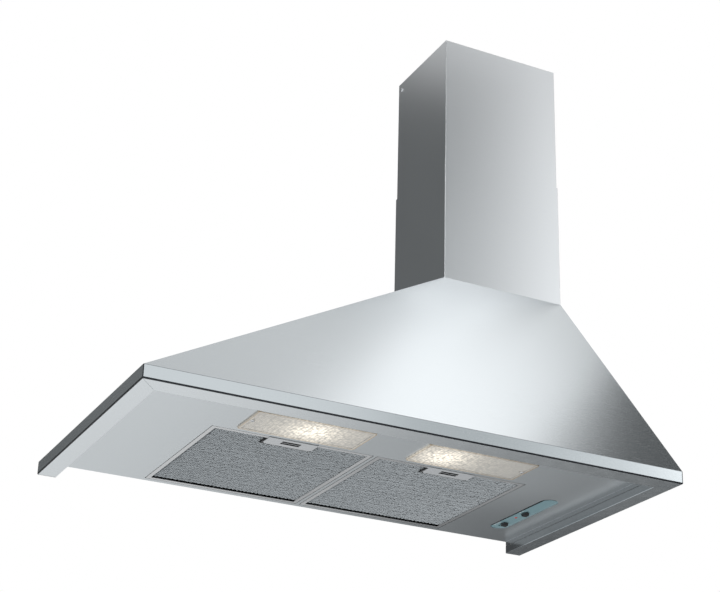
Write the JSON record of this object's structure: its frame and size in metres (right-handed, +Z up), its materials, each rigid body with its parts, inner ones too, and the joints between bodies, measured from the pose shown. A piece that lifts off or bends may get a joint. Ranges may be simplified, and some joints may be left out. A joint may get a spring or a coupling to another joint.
{
  "type": "chimney range hood",
  "caption": "Wall-mounted pyramid range hood with offset telescoping chimney, grease filters that swing down, lamps, slider controls and centrifugal blower.",
  "frame": {"origin": "centre of the canopy's footprint at the height of its lowest edge", "axes": "+X to the right as the cook sees it, +Y towards the wall, +Z up"},
  "size_m": [0.898, 0.485, 0.905],
  "materials": {
    "stainless": "fine brushed",
    "galvanised": "dull zinc",
    "screw_zinc": "zinc plated",
    "teal_print": "satin print",
    "black_plastic": "fine texture",
    "red_lens": "clear red",
    "grey_plastic": "moulded",
    "shaft_steel": "ground",
    "motor_paint": "semi-gloss",
    "bearing_bronze": "sintered",
    "capacitor_shell": "satin",
    "white_plastic": "moulded",
    "filter_aluminium": "satin",
    "latch_grey": "satin grey",
    "spring_steel": "bright",
    "reflector": "white gloss",
    "socket_plastic": "matt",
    "bulb_glass": "frosted",
    "bulb_metal": "bright",
    "lens_plastic": "clear prismatic"
  },
  "bodies": {
    "hood": {"canopy_shell": "stainless", "back_panel": "galvanised", "underside_panel": "stainless", "lens_screws": "screw_zinc", "control_plate": "teal_print", "indicator_lens": "red_lens", "switch_box": "black_plastic", "scroll_housing": "grey_plastic", "motor": "motor_paint", "motor_bearings": "bearing_bronze", "motor_bracket": "galvanised", "blower_screws": "screw_zinc", "blower_plate": "galvanised", "plate_screws": "screw_zinc", "outlet_collar": "grey_plastic", "collar_screws": "screw_zinc", "flap_pin": "shaft_steel", "capacitor": "capacitor_shell", "terminal_box": "black_plastic", "terminal_block": "white_plastic", "cable_gland": "black_plastic", "lower_chimney": "stainless", "chimney_screws": "screw_zinc", "lamp_housing_left": "reflector", "lamp_socket_left": "socket_plastic", "lamp_bulb_left": "bulb_glass", "lamp_cap_left": "bulb_metal", "lamp_lens_left": "lens_plastic", "inlet_ring_left": "grey_plastic", "lamp_housing_right": "reflector", "lamp_socket_right": "socket_plastic", "lamp_bulb_right": "bulb_glass", "lamp_cap_right": "bulb_metal", "lamp_lens_right": "lens_plastic", "inlet_ring_right": "grey_plastic"},
    "fan": {"impeller": "black_plastic", "fan_shaft": "shaft_steel"},
    "speed_slider": {"speed_knob": "black_plastic"},
    "lamp_slider": {"lamp_knob": "black_plastic"},
    "front_damper": {"front_flap": "grey_plastic"},
    "rear_damper": {"rear_flap": "grey_plastic"},
    "chimney_extension": {"upper_chimney": "stainless", "chimney_bracket": "galvanised", "bracket_screws": "screw_zinc"},
    "filter_left": {"filter_frame_left": "filter_aluminium", "filter_mesh_left": "filter_aluminium", "filter_core_left": "filter_aluminium", "latch_guide_left": "black_plastic", "latch_spring_left": "spring_steel"},
    "latch_left": {"filter_latch_left": "latch_grey"},
    "filter_right": {"filter_frame_right": "filter_aluminium", "filter_mesh_right": "filter_aluminium", "filter_core_right": "filter_aluminium", "latch_guide_right": "black_plastic", "latch_spring_right": "spring_steel"},
    "latch_right": {"filter_latch_right": "latch_grey"}
  },
  "joints": [
    {"name": "chimney_slide", "type": "slide", "parent": "hood", "child": "chimney_extension", "axis": [0, 0, 1], "range_m": [-0.03, 0.13]},
    {"name": "fan_spin", "type": "hinge", "parent": "hood", "child": "fan", "pos_m": [0.304, 0.0975, 0.166], "axis": [1, 0, 0], "continuous": true},
    {"name": "speed_slide", "type": "slide", "parent": "hood", "child": "speed_slider", "axis": [0, 1, 0], "range_m": [0, 0.018]},
    {"name": "lamp_slide", "type": "slide", "parent": "hood", "child": "lamp_slider", "axis": [0, -1, 0], "range_m": [0, 0.008]},
    {"name": "front_damper_hinge", "type": "hinge", "parent": "hood", "child": "front_damper", "pos_m": [0.304, 0.1615, 0.3255], "axis": [-1, 0, 0], "range_deg": [0, 75]},
    {"name": "rear_damper_hinge", "type": "hinge", "parent": "hood", "child": "rear_damper", "pos_m": [0.304, 0.1615, 0.3255], "axis": [1, 0, 0], "range_deg": [0, 75]},
    {"name": "filter_swing_left", "type": "hinge", "parent": "hood", "child": "filter_left", "pos_m": [-0.1385, 0.2315, 0.0215], "axis": [1, 0, 0], "range_deg": [0, 50]},
    {"name": "latch_slide_left", "type": "slide", "parent": "filter_left", "child": "latch_left", "axis": [0, 1, 0], "range_m": [0, 0.006], "stiffness_N_per_m": 300, "springref_m": -0.01, "deforming": ["latch_spring_left"]},
    {"name": "filter_swing_right", "type": "hinge", "parent": "hood", "child": "filter_right", "pos_m": [0.1385, 0.2315, 0.0215], "axis": [1, 0, 0], "range_deg": [0, 50]},
    {"name": "latch_slide_right", "type": "slide", "parent": "filter_right", "child": "latch_right", "axis": [0, 1, 0], "range_m": [0, 0.006], "stiffness_N_per_m": 300, "springref_m": -0.01, "deforming": ["latch_spring_right"]}
  ]
}
